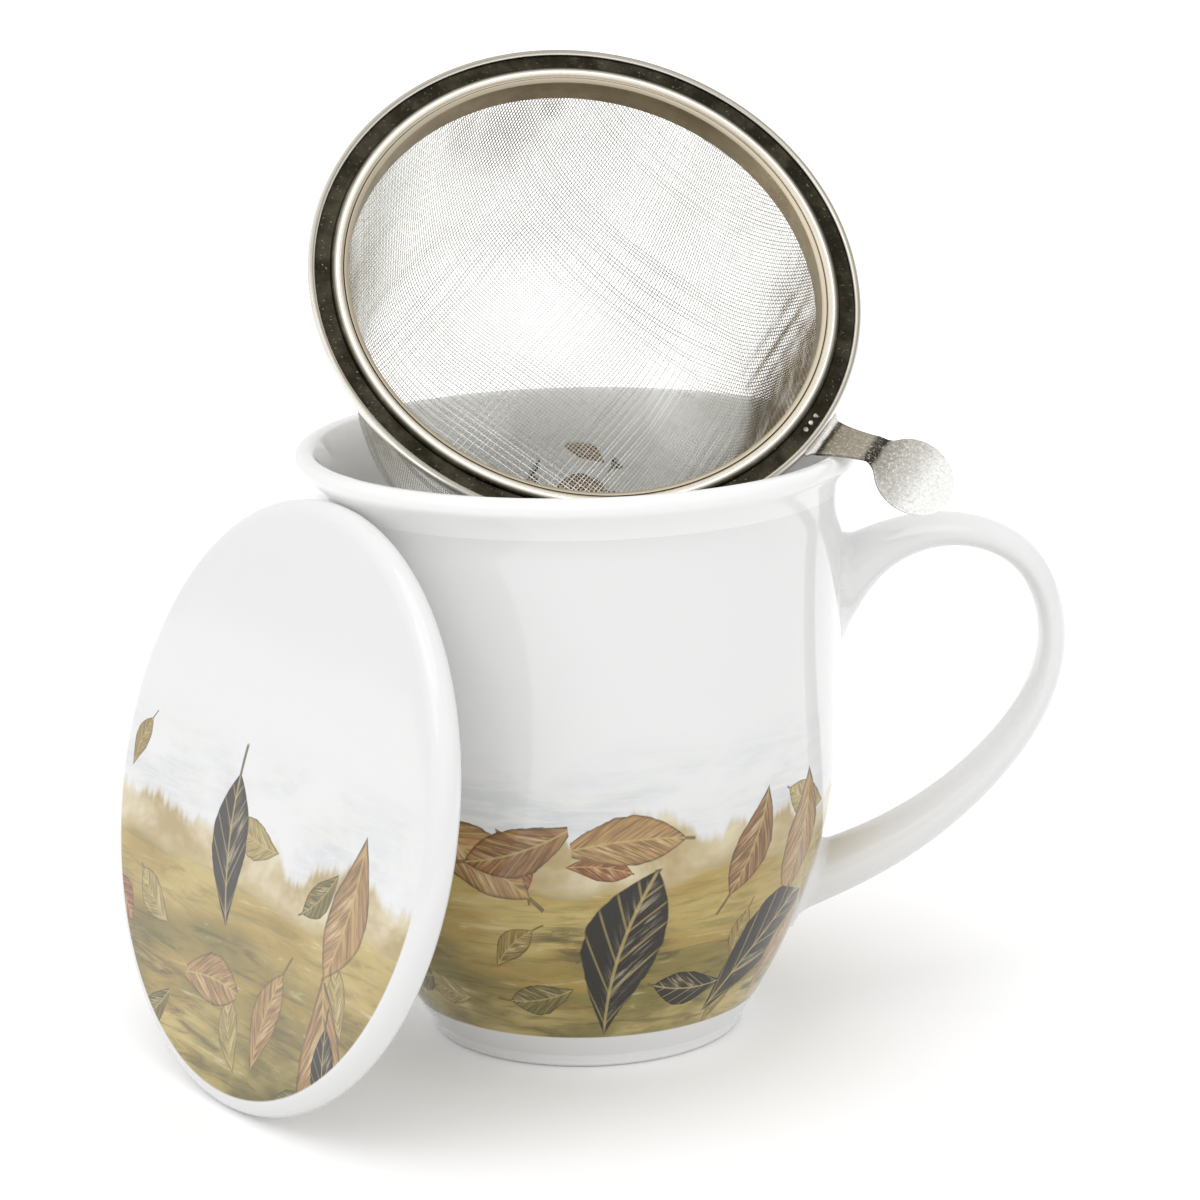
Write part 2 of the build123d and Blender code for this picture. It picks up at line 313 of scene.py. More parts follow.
def pickColour(tree, dice, names):
    stops = [(index / len(names), printColours[name]) for index, name in enumerate(names)]
    return colourRamp(tree, dice, "CONSTANT", stops)


def cellsOf(tree, spot, cell, shift):
    # a loose grid of cells: the way from each cell's point, three dice and the point's own height
    moved = vectorCalc(tree, "ADD", spot, (*shift, 0))
    scaled = vectorCalc(tree, "MULTIPLY", moved, (1 / cell, 1 / cell, 0))
    settings = {"Vector": scaled, "Scale": 1.0, "Randomness": leafForm["loose"]}
    cells = put(tree, "ShaderNodeTexVoronoi", settings, voronoi_dimensions="2D", feature="F1")
    away = vectorCalc(tree, "SUBTRACT", scaled, cells.outputs["Position"])
    away = vectorCalc(tree, "MULTIPLY", away, (cell, cell, 0))
    dice = put(tree, "ShaderNodeSeparateColor", {0: cells.outputs["Color"]})
    height = scaleAdd(tree, axisOf(tree, cells.outputs["Position"], 1), cell, -shift[1])
    return away, dice.outputs, height


def leafLayer(tree, spot, cell, length, width, shift, chance, low, high, colours):
    # one scatter of painted leaves, one turned leaf in each cell that takes part
    away, dice, height = cellsOf(tree, spot, cell, shift)
    turned = put(tree, "ShaderNodeVectorRotate", {"Vector": away, "Angle": times(tree, dice[0], 2 * pi)},
                 rotation_type="Z_AXIS").outputs[0]
    size = scaleAdd(tree, dice[1], leafForm["sizeSpread"], leafForm["smallest"])
    along = calc(tree, "DIVIDE", axisOf(tree, turned, 0), times(tree, size, length / 2))
    across = calc(tree, "DIVIDE", axisOf(tree, turned, 1), times(tree, size, width / 2))
    # the midrib bows a little
    across = calc(tree, "SUBTRACT", across, times(tree, along, along, leafForm["bow"]))
    side = calc(tree, "ABSOLUTE", across)
    belly = calc(tree, "SUBTRACT", 1.0, calc(tree, "POWER", calc(tree, "ABSOLUTE", along), leafForm["blunt"]))
    uneven = grain(tree, turned, 2.2 / width, 3, 0.6)
    ragged = scaleAdd(tree, uneven, leafForm["ragged"], -leafForm["ragged"] / 2)
    full = scaleAdd(tree, along, -leafForm["taper"], leafForm["full"])
    inset = calc(tree, "SUBTRACT", times(tree, belly, calc(tree, "ADD", full, ragged)), side)
    blade = ease(tree, inset, 0.0, 0.05)
    stalkEnd, stalkHalf = leafForm["stalkEnd"], leafForm["stalkHalf"]
    stalkRun = times(tree, ease(tree, along, stalkEnd, stalkEnd + 0.06), ease(tree, along, -0.8, -0.9))
    stalk = times(tree, ease(tree, side, stalkHalf, stalkHalf / 3), stalkRun)
    inBand = times(tree, calc(tree, "GREATER_THAN", height, low), calc(tree, "LESS_THAN", height, high))
    mask = times(tree, calc(tree, "MAXIMUM", blade, stalk), calc(tree, "LESS_THAN", dice[2], chance), inBand)
    # brushed colour: streaks along the veins, light on one half, dark at the edge and in the other half
    fan = calc(tree, "ADD", along, times(tree, side, leafForm["veinSlant"]))
    strokes = vectorOf(tree, times(tree, fan, 5.0), times(tree, across, 0.8), dice[1])
    brushed = grain(tree, strokes, 2.2, 4, 0.6, 0.3)
    base = pickColour(tree, dice[0], colours)
    umber, straw = printColours["umber"], printColours["straw"]
    tone = brushOn(tree, blendColour(tree, 0.62, base, umber), base, brushed, 0.30, 0.72)
    lit = times(tree, ease(tree, across, -0.35, 0.25), ease(tree, inset, 0.05, 0.5))
    lit = times(tree, lit, times(tree, ease(tree, brushed, 0.45, 0.8), 0.75))
    tone = blendColour(tree, lit, tone, printColours["cream"])
    veins = calc(tree, "SINE", times(tree, fan, leafForm["veins"]))
    tone = brushOn(tree, tone, straw, veins, 0.86, 1.0, 0.42)
    tone = brushOn(tree, tone, straw, side, 0.055, 0.015, 0.65)
    return mask, brushOn(tree, tone, umber, inset, 0.16, 0.02, 0.6)


def meadowPrint(tree, spot, top):
    # spot: x along the wall and y upwards in metres; top: how high the ground reaches
    height = axisOf(tree, spot, 1)
    warp = grain(tree, stretched(tree, spot, (30, 60, 1)), 1.0, 3, 0.5)
    strokes = grain(tree, stretched(tree, spot, (70, 520, 1), (0, 0, 0), 0.12), 1.0, 6, 0.65, 0.7)
    wash = grain(tree, stretched(tree, spot, (38, 110, 1), (3, 1, 0), -0.10), 1.0, 4, 0.55, 0.5)
    cloud = grain(tree, stretched(tree, spot, (45, 70, 1), (7, 2, 0)), 1.0, 4, 0.6, 0.3)
    # far haze and bushes over the ground
    haze = ease(tree, height, top + meadow["hazeTop"], top + meadow["hazeFoot"])
    ink = times(tree, times(tree, haze, ease(tree, cloud, 0.36, 0.66)), meadow["hazeInk"])
    colour = brushOn(tree, printColours["haze"], printColours["mist"], strokes, 0.4, 0.62)
    tops = grain(tree, stretched(tree, spot, (48, 1, 1), (2, 5, 0)), 1.0, 5, 0.62)
    bushes = calc(tree, "ADD", height, scaleAdd(tree, tops, -meadow["bushSwing"], meadow["bushSwing"] / 2))
    bushMask = ease(tree, bushes, top + meadow["bushEdge"], top - meadow["bushEdge"])
    bushTone = brushOn(tree, printColours["cream"], printColours["ochre"], cloud, 0.35, 0.62)
    colour = blendColour(tree, bushMask, colour, bushTone)
    ink = calc(tree, "MAXIMUM", ink, times(tree, bushMask, meadow["bushInk"]))
    # rolling ground, darker and greener towards the foot
    for index, (rise, light, dark, streak) in enumerate(groundRolls):
        rolls = stretched(tree, spot, (20 + 6 * index, 1, 1), (index * 5.3 + 1, index, 0))
        swing, edge = meadow["rollSwing"], meadow["rollEdge"]
        level = calc(tree, "ADD", height, scaleAdd(tree, grain(tree, rolls, 1.0, 2, 0.4), -swing, swing / 2))
        slope = ease(tree, scaleAdd(tree, strokes, edge, level), top + rise + edge, top + rise)
        tone = brushOn(tree, printColours[light], printColours[dark], wash, 0.32, 0.66)
        tone = brushOn(tree, tone, printColours[streak], strokes, 0.46, 0.68, 0.65)
        tone = brushOn(tree, tone, printColours["cream"], strokes, 0.42, 0.28, 0.5)
        colour = blendColour(tree, slope, colour, tone)
        ink = calc(tree, "MAXIMUM", ink, slope)
    # dark drifts of brushwork across the ground
    drift = times(tree, ease(tree, warp, 0.52, 0.66), ease(tree, strokes, 0.40, 0.60))
    lower = ease(tree, height, top + meadow["driftTop"], top + meadow["driftFoot"])
    drift = times(tree, drift, meadow["driftInk"], lower)
    colour = blendColour(tree, drift, colour, printColours["moss"])
    for *form, low, reach, colours in leafLayers:
        mask, tone = leafLayer(tree, spot, *form, low, top + reach, colours)
        colour = blendColour(tree, mask, colour, tone)
        ink = calc(tree, "MAXIMUM", ink, mask)
    return ink, colour


# inside is the same glaze painted lighter for the mug's inner wall: painted light standing in for the light
# that the shaded interior lacks
glaze = {
    "white": (0.85, 0.85, 0.845), "shade": (0.805, 0.81, 0.82), "inside": (0.93, 0.93, 0.925),
    "bare": (0.80, 0.77, 0.72), "roughness": 0.08, "bareRoughness": 0.55, "coat": 0.25, "coatRoughness": 0.03,
}
# the small sprig inside the mug: where its middle lies on the wrap, how far it reaches, and its leaves
sprig = {
    "middle": (-0.066, 0.0825, 0), "reach": 0.010,
    "leaves": (0.0085, 0.0092, 0.0046, (0.52, 0.37), 0.95, 0.060, 0.098, ("chestnut", "bay", "umber", "bay")),
}


def newGlaze(name):
    # the glaze pools in long soft waves, which only the reflections show
    material, tree, shader = newMaterial(name, Roughness=glaze["roughness"], Coat_Weight=glaze["coat"],
                                         Coat_Roughness=glaze["coatRoughness"])
    spot = objectSpot(tree)
    bumpFrom(tree, shader, grain(tree, spot, 55, 2, 0.4), 0.06, 0.001)
    white = blendColour(tree, times(tree, grain(tree, spot, 30, 3, 0.5), 0.3), glaze["white"], glaze["shade"])
    return material, tree, shader, spot, white


def plainGlaze():
    material, tree, shader, spot, white = newGlaze("plainGlaze")
    feed(tree, shader, Base_Color=white)
    return material


def mugGlaze():
    # the print lies on the outside only, from the foot up; a small sprig lies inside at the back
    material, tree, shader, spot, white = newGlaze("mugGlaze")
    height, foot = axisOf(tree, spot, 2), mug["printFoot"]
    # the seam of the wrap is under the handle
    back, left = (times(tree, axisOf(tree, spot, axis), -1.0) for axis in (1, 0))
    turn = calc(tree, "ARCTAN2", back, left)
    wrap = vectorOf(tree, times(tree, turn, mug["wrapRadius"]), height)
    side = markOf(tree, "outside")
    ink, colour = meadowPrint(tree, wrap, mug["printTop"])
    outside = times(tree, ease(tree, side, 0.45, 0.55), ease(tree, height, foot, foot + 0.0003))
    mask, tone = leafLayer(tree, wrap, *sprig["leaves"])
    away = vectorCalc(tree, "DISTANCE", wrap, sprig["middle"])
    inside = ease(tree, side, 0.55, 0.45)
    nearSprig = ease(tree, away, sprig["reach"] + 0.0005, sprig["reach"] - 0.0005)
    # inside the mug the white is painted lighter, painted light for the interior's shade
    white = blendColour(tree, inside, white, glaze["inside"])
    painted = blendColour(tree, times(tree, ink, outside), white, colour)
    painted = blendColour(tree, times(tree, mask, times(tree, inside, nearSprig)), painted, tone)
    # the foot ring is wiped clean of glaze before firing
    bare = ease(tree, height, 0.0006, 0.0002)
    painted = blendColour(tree, bare, painted, glaze["bare"])
    feed(tree, shader, Base_Color=painted,
         Roughness=scaleAdd(tree, bare, glaze["bareRoughness"], glaze["roughness"]))
    return material


def lidGlaze():
    material, tree, shader, spot, white = newGlaze("lidGlaze")
    face = mapSpot(tree, "face")
    ink, colour = meadowPrint(tree, vectorCalc(tree, "ADD", face, lid["printShift"]), lid["printTop"])
    reach, edge = lid["printReach"], lid["printEdge"]
    inReach = ease(tree, vectorCalc(tree, "LENGTH", face), reach + edge, reach - edge)
    onFace = times(tree, ease(tree, markOf(tree, "outside"), 0.45, 0.55), inReach)
    feed(tree, shader, Base_Color=blendColour(tree, times(tree, ink, onFace), white, colour))
    return material


# the mug's body, sizes in mm; where the print lies on it in metres
mug = {
    "height": 101.6, "rimRadius": 47.5, "lipRoll": 2.0, "flare": 13.7, "neck": 44.6, "belly": 44.0,
    "bellyHeight": 58.6, "foot": 26.5, "footHeight": 1.2, "footRing": 3.8, "footRound": 0.9, "recess": 2.0,
    "wall": 3.4, "floor": 4.5, "floorRound": 9.0, "steps": 160,
    "printTop": 0.0445, "printFoot": 0.0064, "wrapRadius": 0.042, "outsideFrom": 0.003, "outsideTo": 0.095,
}


def bellyShape(inset):
    # the wall below the belly is one arc; inset moves it inwards
    drop = mug["bellyHeight"] - mug["footHeight"]
    draw = mug["belly"] - mug["foot"]
    radius = (drop ** 2 + draw ** 2) / (2 * draw)
    return mug["belly"] - radius, radius - inset


def flareShape(inset):
    # centre and radius of the neck's flare, and where it meets the rolled lip
    lipRadius, lipHeight = mug["rimRadius"] - mug["lipRoll"], mug["height"] - mug["lipRoll"]
    centreRadius = mug["neck"] + mug["flare"]
    run = centreRadius - lipRadius
    radius = mug["flare"] + inset
    reach = radius + mug["lipRoll"] if inset == 0 else radius - mug["lipRoll"]
    centreHeight = lipHeight - sqrt(reach ** 2 - run ** 2)
    return (centreRadius, centreHeight), radius, degrees(atan2(lipHeight - centreHeight, run))


def wallRun(inset, shares):
    # points up the nearly straight wall between the belly and the neck's flare
    low, high = (mug["belly"] - inset, mug["bellyHeight"]), (mug["neck"] - inset, flareShape(inset)[0][1])
    return [(low[0] + (high[0] - low[0]) * s, low[1] + (high[1] - low[1]) * s) for s in shares]


def mugOutline():
    lip = (mug["rimRadius"] - mug["lipRoll"], mug["height"] - mug["lipRoll"])
    soft, ringInner = mug["footRound"], mug["foot"] - mug["footRing"]
    profile = [(ringInner - 1.2, mug["recess"]), (ringInner - 0.7, mug["recess"] - 0.05),
               (ringInner - 0.5, mug["recess"] - 0.5)]
    profile += arcPoints((ringInner + soft, soft), soft, 200, 270, 6)
    profile += arcPoints((mug["foot"] - soft, soft), soft, 270, 360, 6)
    axis, radius = bellyShape(0)
    start = degrees(asin((mug["bellyHeight"] - mug["footHeight"]) / radius))
    profile += arcPoints((axis, mug["bellyHeight"]), radius, -start, 0, 40)
    profile += wallRun(0, (0.2, 0.4, 0.6, 0.8))
    centre, radius, blend = flareShape(0)
    profile += arcPoints(centre, radius, 180, 180 - blend, 10)
    profile += arcPoints(lip, mug["lipRoll"], -blend, 90, 14)[1:]
    # over the lip and down inside
    centre, radius, blend = flareShape(mug["wall"])
    profile += arcPoints(lip, mug["lipRoll"], 90, 180 - blend, 8)[1:]
    profile += arcPoints(centre, radius, 180 - blend, 180, 10)[1:]
    profile += wallRun(mug["wall"], (0.75, 0.5, 0.25))
    # the floor's rounding touches the wall's arc from inside and the floor
    axis, radius = bellyShape(mug["wall"])
    floorHeight, turn = mug["recess"] + mug["floor"], mug["floorRound"]
    fall = asin((mug["bellyHeight"] - floorHeight - turn) / (radius - turn))
    roundRadius = axis + (radius - turn) * cos(fall)
    fall = degrees(fall)
    profile += arcPoints((axis, mug["bellyHeight"]), radius, 0, -fall, 34)
    profile += arcPoints((roundRadius, floorHeight + turn), turn, -fall, -90, 12)[1:]
    return profile + [(roundRadius * s, floorHeight) for s in (0.6, 0.2)]


def markOutside(piece, isOutside):
    # 1 on the faces that take the print, 0 elsewhere
    layer = piece.data.attributes.new(name="outside", type="FLOAT", domain="FACE")
    for face in piece.data.polygons:
        layer.data[face.index].value = 1.0 if isOutside(face) else 0.0


mugBody = turnedPiece("mugBody", mugOutline(), mug["steps"])
markOutside(mugBody, lambda face: face.normal.x * face.center.x + face.normal.y * face.center.y > 0
            and mug["outsideFrom"] < face.center.z < mug["outsideTo"])
finishPiece(mugBody, mugGlaze(), "mug", "mug_body", 50)
print("mug body:", len(mugBody.data.polygons), "faces")


# the handle, sizes in mm; a station runs from 0 at its upper root to 1 at its lower
handle = {
    "reach": 35.8, "topDrop": 16.6, "rootDrop": 29.3, "apexHeight": 66.6, "footHeight": 24.6,
    "thick": 5.0, "wide": 11.0, "upperRoot": 19.0, "upperWidth": 16.0, "upperSwell": 4.5,
    "lowerRoot": 10.8, "lowerWidth": 13.5, "lowerSwell": 1.4, "thinnest": 0.45,
    "fillet": 2.2, "sink": 0.2, "rootDepth": 1.5, "rings": 260, "sides": 56,
    "startWay": Vector((0.8, 0, 0.6)), "endWay": Vector((-0.93, 0, -0.37)),
}


def handleLine():
    # the ear's centreline as a smooth run through eight places, (x, z) in mm
    apex = mug["belly"] + handle["reach"]
    top = mug["height"] - handle["topDrop"]
    rise = handle["rootDrop"] - handle["topDrop"]
    fall = handle["apexHeight"] - handle["footHeight"]
    spots = [
        (mug["neck"] - 2 * mug["wall"], mug["height"] - handle["rootDrop"]),
        (mug["belly"] + 0.15 * handle["reach"], top - 0.29 * rise),
        (mug["belly"] + 0.54 * handle["reach"], top),
        (mug["belly"] + 0.86 * handle["reach"], top - 0.26 * (top - handle["apexHeight"])),
        (apex, handle["apexHeight"]),
        (mug["belly"] + 0.69 * handle["reach"], handle["footHeight"] + 0.45 * fall),
        (mug["belly"] + 0.08 * handle["reach"], handle["footHeight"] + 0.08 * fall),
        (mug["belly"] - 3.5 * mug["wall"], handle["footHeight"] - 0.06 * fall),
    ]
    return [Vector((x, 0, z)) for x, z in spots]


def smoothRun(spots, startWay, endWay, count):
    # a cubic run through the spots whose bending changes smoothly; gives each point, its way and its station
    knots = [0.0]
    for a, b in zip(spots, spots[1:]):
        knots.append(knots[-1] + (b - a).length)
    ways = [Vector((0, 0, 0)) for _ in spots]
    ways[0], ways[-1] = startWay, endWay
    for _ in range(60):
        for i in range(1, len(spots) - 1):
            before, after = knots[i] - knots[i - 1], knots[i + 1] - knots[i]
            pull = after * (spots[i] - spots[i - 1]) / before + before * (spots[i + 1] - spots[i]) / after
            ways[i] = (3 * pull - after * ways[i - 1] - before * ways[i + 1]) / (2 * (before + after))
    out = []
    for i in range(count + 1):
        t = knots[-1] * i / count
        k = min(max(j for j in range(len(spots)) if knots[j] <= t + 1e-9), len(spots) - 2)
        span = knots[k + 1] - knots[k]
        s = (t - knots[k]) / span
        spot = ((2 * s ** 3 - 3 * s ** 2 + 1) * spots[k] + (s ** 3 - 2 * s ** 2 + s) * span * ways[k]
                + (3 * s ** 2 - 2 * s ** 3) * spots[k + 1] + (s ** 3 - s ** 2) * span * ways[k + 1])
        way = ((6 * s ** 2 - 6 * s) * (spots[k] - spots[k + 1]) / span + (3 * s ** 2 - 4 * s + 1) * ways[k]
               + (3 * s ** 2 - 2 * s) * ways[k + 1])
        out.append((spot, way.normalized(), i / count))
    return out


def handleHalves(station):
    # half the width and half the thickness there, both growing towards the roots
    if station < handle["thinnest"]:
        root, rootWidth = handle["upperRoot"], handle["upperWidth"]
        swell = (1 - station / handle["thinnest"]) ** handle["upperSwell"]
    else:
        root, rootWidth = handle["lowerRoot"], handle["lowerWidth"]
        swell = ((station - handle["thinnest"]) / (1 - handle["thinnest"])) ** handle["lowerSwell"]
    return ((handle["wide"] + (rootWidth - handle["wide"]) * swell) / 2,
            (handle["thick"] + (root - handle["thick"]) * swell) / 2)


def ringLoft(name, rings):
    # bridges a list of equal rings into a closed skin
    sides, last = len(rings[0]), len(rings) - 1
    faces = []
    for i in range(last):
        here, there = i * sides, (i + 1) * sides
        for j in range(sides):
            k = (j + 1) % sides
            faces.append([here + j, here + k, there + k, there + j])
    faces += [list(range(sides))[::-1], [last * sides + j for j in range(sides)]]
    made = bpy.data.meshes.new(name)
    made.from_pydata([spot * mm for ring in rings for spot in ring], [], faces)
    piece = bpy.data.objects.new(name, made)
    bpy.context.collection.objects.link(piece)
    pickUp(piece)
    bpy.ops.object.mode_set(mode="EDIT")
    bpy.ops.mesh.select_all(action="SELECT")
    bpy.ops.mesh.normals_make_consistent(inside=False)
    bpy.ops.object.mode_set(mode="OBJECT")
    return piece


def wallRadius(height):
    if height < mug["bellyHeight"]:
        axis, radius = bellyShape(0)
        return axis + sqrt(radius ** 2 - (mug["bellyHeight"] - height) ** 2)
    climb = (height - mug["bellyHeight"]) / (flareShape(0)[0][1] - mug["bellyHeight"])
    return mug["belly"] + (mug["neck"] - mug["belly"]) * min(1, climb)


def wallGap(p):
    return hypot(p.x, p.y) - wallRadius(p.z)


def makeHandle():
    rings = []
    for spot, way, station in smoothRun(handleLine(), handle["startWay"], handle["endWay"], handle["rings"]):
        half, thick = handleHalves(station)
        across = Vector((0, 1, 0))
        over = way.cross(across)
        turns = [2 * pi * j / handle["sides"] for j in range(handle["sides"])]
        rings.append([spot + across * half * cos(turn) + over * thick * sin(turn) for turn in turns])
    # the slip that joins it to the wall leaves a small fillet all round
    fillet = handle["fillet"]
    for ring in rings:
        middle = sum(ring, Vector((0, 0, 0))) / len(ring)
        for p in ring:
            gap = min(max(wallGap(p), 0), fillet)
            way, out = (p - middle).normalized(), Vector((p.x, p.y, 0)).normalized()
            p += (way - out * way.dot(out)) * (fillet - sqrt(fillet ** 2 - (fillet - gap) ** 2))
            p -= out * handle["sink"] * (1 - gap / fillet) ** 6
    # everything past the middle of the wall is trimmed back to it
    kept = [ring for ring in rings if max(wallGap(p) for p in ring) > -handle["rootDepth"]]
    for ring in kept:
        for p in ring:
            depth = wallRadius(p.z) - mug["wall"] / 2
            if hypot(p.x, p.y) < depth:
                p.x = sqrt(max(0, depth ** 2 - p.y ** 2))
    return ringLoft("mugHandle", kept)


handlePiece = makeHandle()
finishPiece(handlePiece, plainGlaze(), "mug", "mug_handle", 80)
print("handle:", len(handlePiece.data.polygons), "faces")


# the lid, sizes in mm, turned about its own axis and then leaned on the mug
lid = {
    "radius": 50.2, "thick": 5.5, "ringOuter": 38.95, "ringWide": 3.4, "ringHigh": 2.4, "ringRound": 0.6,
    "heading": -146.6, "lean": 13.7, "steps": 160, "printTop": 0.0455, "printShift": (0.71, 0.052, 0),
    "printReach": 0.0476, "printEdge": 0.0002,
}


def lidFrame():
    # the lid's own axes; its centre comes from the frame's box of the node
    away = Vector((cos(radians(lid["heading"])), sin(radians(lid["heading"])), 0))
    face = away * cos(radians(lid["lean"])) + Vector((0, 0, sin(radians(lid["lean"]))))
    side = Vector((0, 0, 1)).cross(away)
    return side, face.cross(side), face


def middleOf(node):
    low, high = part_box(node)
    return (low + high) / 2


def lidOutline():
    half = lid["thick"] / 2
    foot = -half - lid["ringHigh"]
    inner = lid["ringOuter"] - lid["ringWide"]
    soft = lid["ringRound"]
    profile = [(2.0, -half), (20.0, -half)]
    profile += arcPoints((inner - soft, -half - soft), soft, 90, 0, 4)
    profile += arcPoints((inner + soft, foot + soft), soft, 180, 270, 5)
    profile += arcPoints((lid["ringOuter"] - soft, foot + soft), soft, -90, 0, 5)
    profile += arcPoints((lid["ringOuter"] + soft, -half - soft), soft, 180, 90, 4)
    profile += arcPoints((lid["radius"] - half, 0), half, -90, 90, 18)
    return profile + [(44.0, half), (30.0, half), (12.0, half), (2.0, half)]


lidPiece = turnedPiece("lidDisc", lidOutline(), lid["steps"])
markOutside(lidPiece, lambda face: face.normal.z > 0.6 and face.center.z > 0)
flatMap(lidPiece)
side, up, face = lidFrame()
place(lidPiece, Matrix.Translation(middleOf("lid")) @ Matrix((side, up, face)).transposed().to_4x4())
finishPiece(lidPiece, lidGlaze(), "lid", "lid", 50)
print("lid:", len(lidPiece.data.polygons), "faces")


# the infuser's ring and band, sizes in mm from the level of the ring's pan; how it leans in the mouth
infuser = {
    "tilt": 49.3, "heading": -77.5, "flange": 46.1, "sheet": 0.6, "bend": 0.31, "hemWide": 0.65,
    "hemHigh": 0.65, "beadWide": 1.7, "beadHigh": 0.7, "skirt": 4.2, "skirtRadius": 40.45, "bandTop": 0.2,
    "bandDepth": 4.4, "bandInner": 39.35, "bandSheet": 0.79, "bandLip": 0.6, "bandSoft": 0.12,
    "lipSlope": 0.06, "steps": 288,
}


def infuserFrame():
    # the band is alike above and below its middle, so the middle of its box gives the ring's centre
    lean, heading = radians(infuser["tilt"]), radians(infuser["heading"])
    axis = Vector((sin(lean) * cos(heading), sin(lean) * sin(heading), cos(lean)))
    level = Vector((0, 0, 1)).cross(axis).normalized()
    centre = middleOf("infuser_band") + axis * (infuser["bandDepth"] / 2 - infuser["bandTop"]) * mm
    return Matrix.Translation(centre) @ Matrix((level, axis.cross(level), axis)).transposed().to_4x4()


infuserPlace = infuserFrame()


def roundedPath(corners, radius, count):
    # a path with its corners rounded; gives points with their left-hand way, both (radius, height)
    spots = [Vector(corner) for corner in corners]
    ways = [(b - a).normalized() for a, b in zip(spots, spots[1:])]
    out = [(spots[0], Vector((-ways[0].y, ways[0].x)))]
    for here, inWay, outWay in zip(spots[1:], ways, ways[1:]):
        turn = -inWay.angle_signed(outWay)
        hand = 1 if turn > 0 else -1
        centre = here - inWay * radius * tan(abs(turn) / 2) + Vector((-inWay.y, inWay.x)) * radius * hand
        for k in range(count + 1):
            bent = turn * k / count
            left = Vector((-inWay.y * cos(bent) - inWay.x * sin(bent),
                           inWay.x * cos(bent) - inWay.y * sin(bent)))
            out.append((centre - left * radius * hand, left))
    return out + [(spots[-1], Vector((-ways[-1].y, ways[-1].x)))]


def sheetOutline(corners, radius, thickness, count=5):
    # both faces of a bent sheet, as one closed outline with softened ends
    path = roundedPath(corners, radius, count)
    half = thickness / 2
    leftFace = [spot + left * half for spot, left in path]
    rightFace = [spot - left * half for spot, left in path]
    return [(spot.x, spot.y) for spot in leftFace + rightFace[::-1]]


def hollowRing(name, outline, steps):
    # a turned ring whose section is a closed outline
    return turnedPiece(name, outline + outline[:1], steps, loop=True)


def rimOutline():
    skirt, bead = infuser["skirtRadius"], infuser["beadWide"]
    hem = infuser["flange"] - infuser["sheet"] / 2
    pan = hem - infuser["hemWide"]
    high, curl = infuser["beadHigh"], infuser["hemHigh"]
    corners = [(skirt, -infuser["skirt"]), (skirt, high), (skirt + bead, high), (skirt + bead, 0), (pan, 0),
               (pan, curl), (hem, curl), (hem, -curl), (pan, -curl)]
    return sheetOutline(corners, infuser["bend"], infuser["sheet"])


# the ring's tones; bead and edge have their colours between two distances from its axis, in metres: painted
# highlights and painted dark reflections across the bead and the rolled edge, with painted light on the
# skirt's inner face where the crevice is in shade
rimTones = {
    "bead": (0.0399, 0.0426, (
        (0.0, (0.42, 0.37, 0.28)), (0.25, (0.43, 0.38, 0.30)), (0.42, (0.52, 0.49, 0.43)),
        (0.53, (0.88, 0.88, 0.86)), (0.61, (0.40, 0.37, 0.31)), (0.76, (0.07, 0.062, 0.045)))),
    "edge": (0.0448, 0.0461, (
        (0.0, (0.12, 0.11, 0.09)), (0.18, (0.62, 0.60, 0.55)), (0.45, (0.30, 0.27, 0.22)),
        (0.66, (0.34, 0.31, 0.25)), (0.86, (0.88, 0.88, 0.85)), (1.0, (0.66, 0.63, 0.57)))),
    "drawn": (0.36, 0.33, 0.28), "blotch": (0.45, 0.42, 0.36),
    "pan": (0.016, 0.014, 0.009), "panWorn": (0.045, 0.040, 0.027), "speck": (0.22, 0.20, 0.15),
    "panInner": (0.04195, 0.04225), "panOuter": (0.04505, 0.04480), "edgeFrom": (0.0440, 0.0445),
}


def rimMetal():
    # stamped sheet: a dark finely pitted pan between a bead and a rolled edge that carry painted highlights
    # and painted dark reflections
    material, tree, shader = newMaterial("rimMetal", Metallic=1.0)
    polar, spot = mapSpot(tree, "polar"), objectSpot(tree)
    radius = axisOf(tree, polar, 1)
    speck = grain(tree, spot, 2300, 3, 0.6)
    blotch = grain(tree, spot, 240, 4, 0.6)
    drawn = grain(tree, stretched(tree, polar, (50, 7000, 1)), 1.0, 4, 0.6)
    # the bead and the edge take painted highlights and painted dark reflections by their distance from the
    # axis
    bead, edge = (rampBy(tree, radius, *rimTones[name]) for name in ("bead", "edge"))
    bright = brushOn(tree, bead, edge, radius, *rimTones["edgeFrom"])
    bright = brushOn(tree, bright, rimTones["drawn"], drawn, 0.45, 0.75, 0.25)
    bright = brushOn(tree, bright, rimTones["blotch"], blotch, 0.5, 0.8, 0.25)
    dark = brushOn(tree, rimTones["pan"], rimTones["panWorn"], blotch, 0.35, 0.7)
    dark = brushOn(tree, dark, rimTones["speck"], speck, 0.63, 0.74)
    pan = times(tree, ease(tree, radius, *rimTones["panInner"]), ease(tree, radius, *rimTones["panOuter"]))
    feed(tree, shader, Base_Color=blendColour(tree, pan, bright, dark),
         Roughness=scaleAdd(tree, pan, 0.12, scaleAdd(tree, blotch, 0.14, 0.16)))
    bumpFrom(tree, shader, scaleAdd(tree, calc(tree, "ADD", speck, drawn), 0.5, blotch), 0.3, 0.00015)
    return material


rimPiece = hollowRing("infuserRing", rimOutline(), infuser["steps"])
polarMap(rimPiece)
place(rimPiece, infuserPlace)
finishPiece(rimPiece, rimMetal(), "infuser", "infuser_rim", 60)
print("infuser ring:", len(rimPiece.data.polygons), "faces")


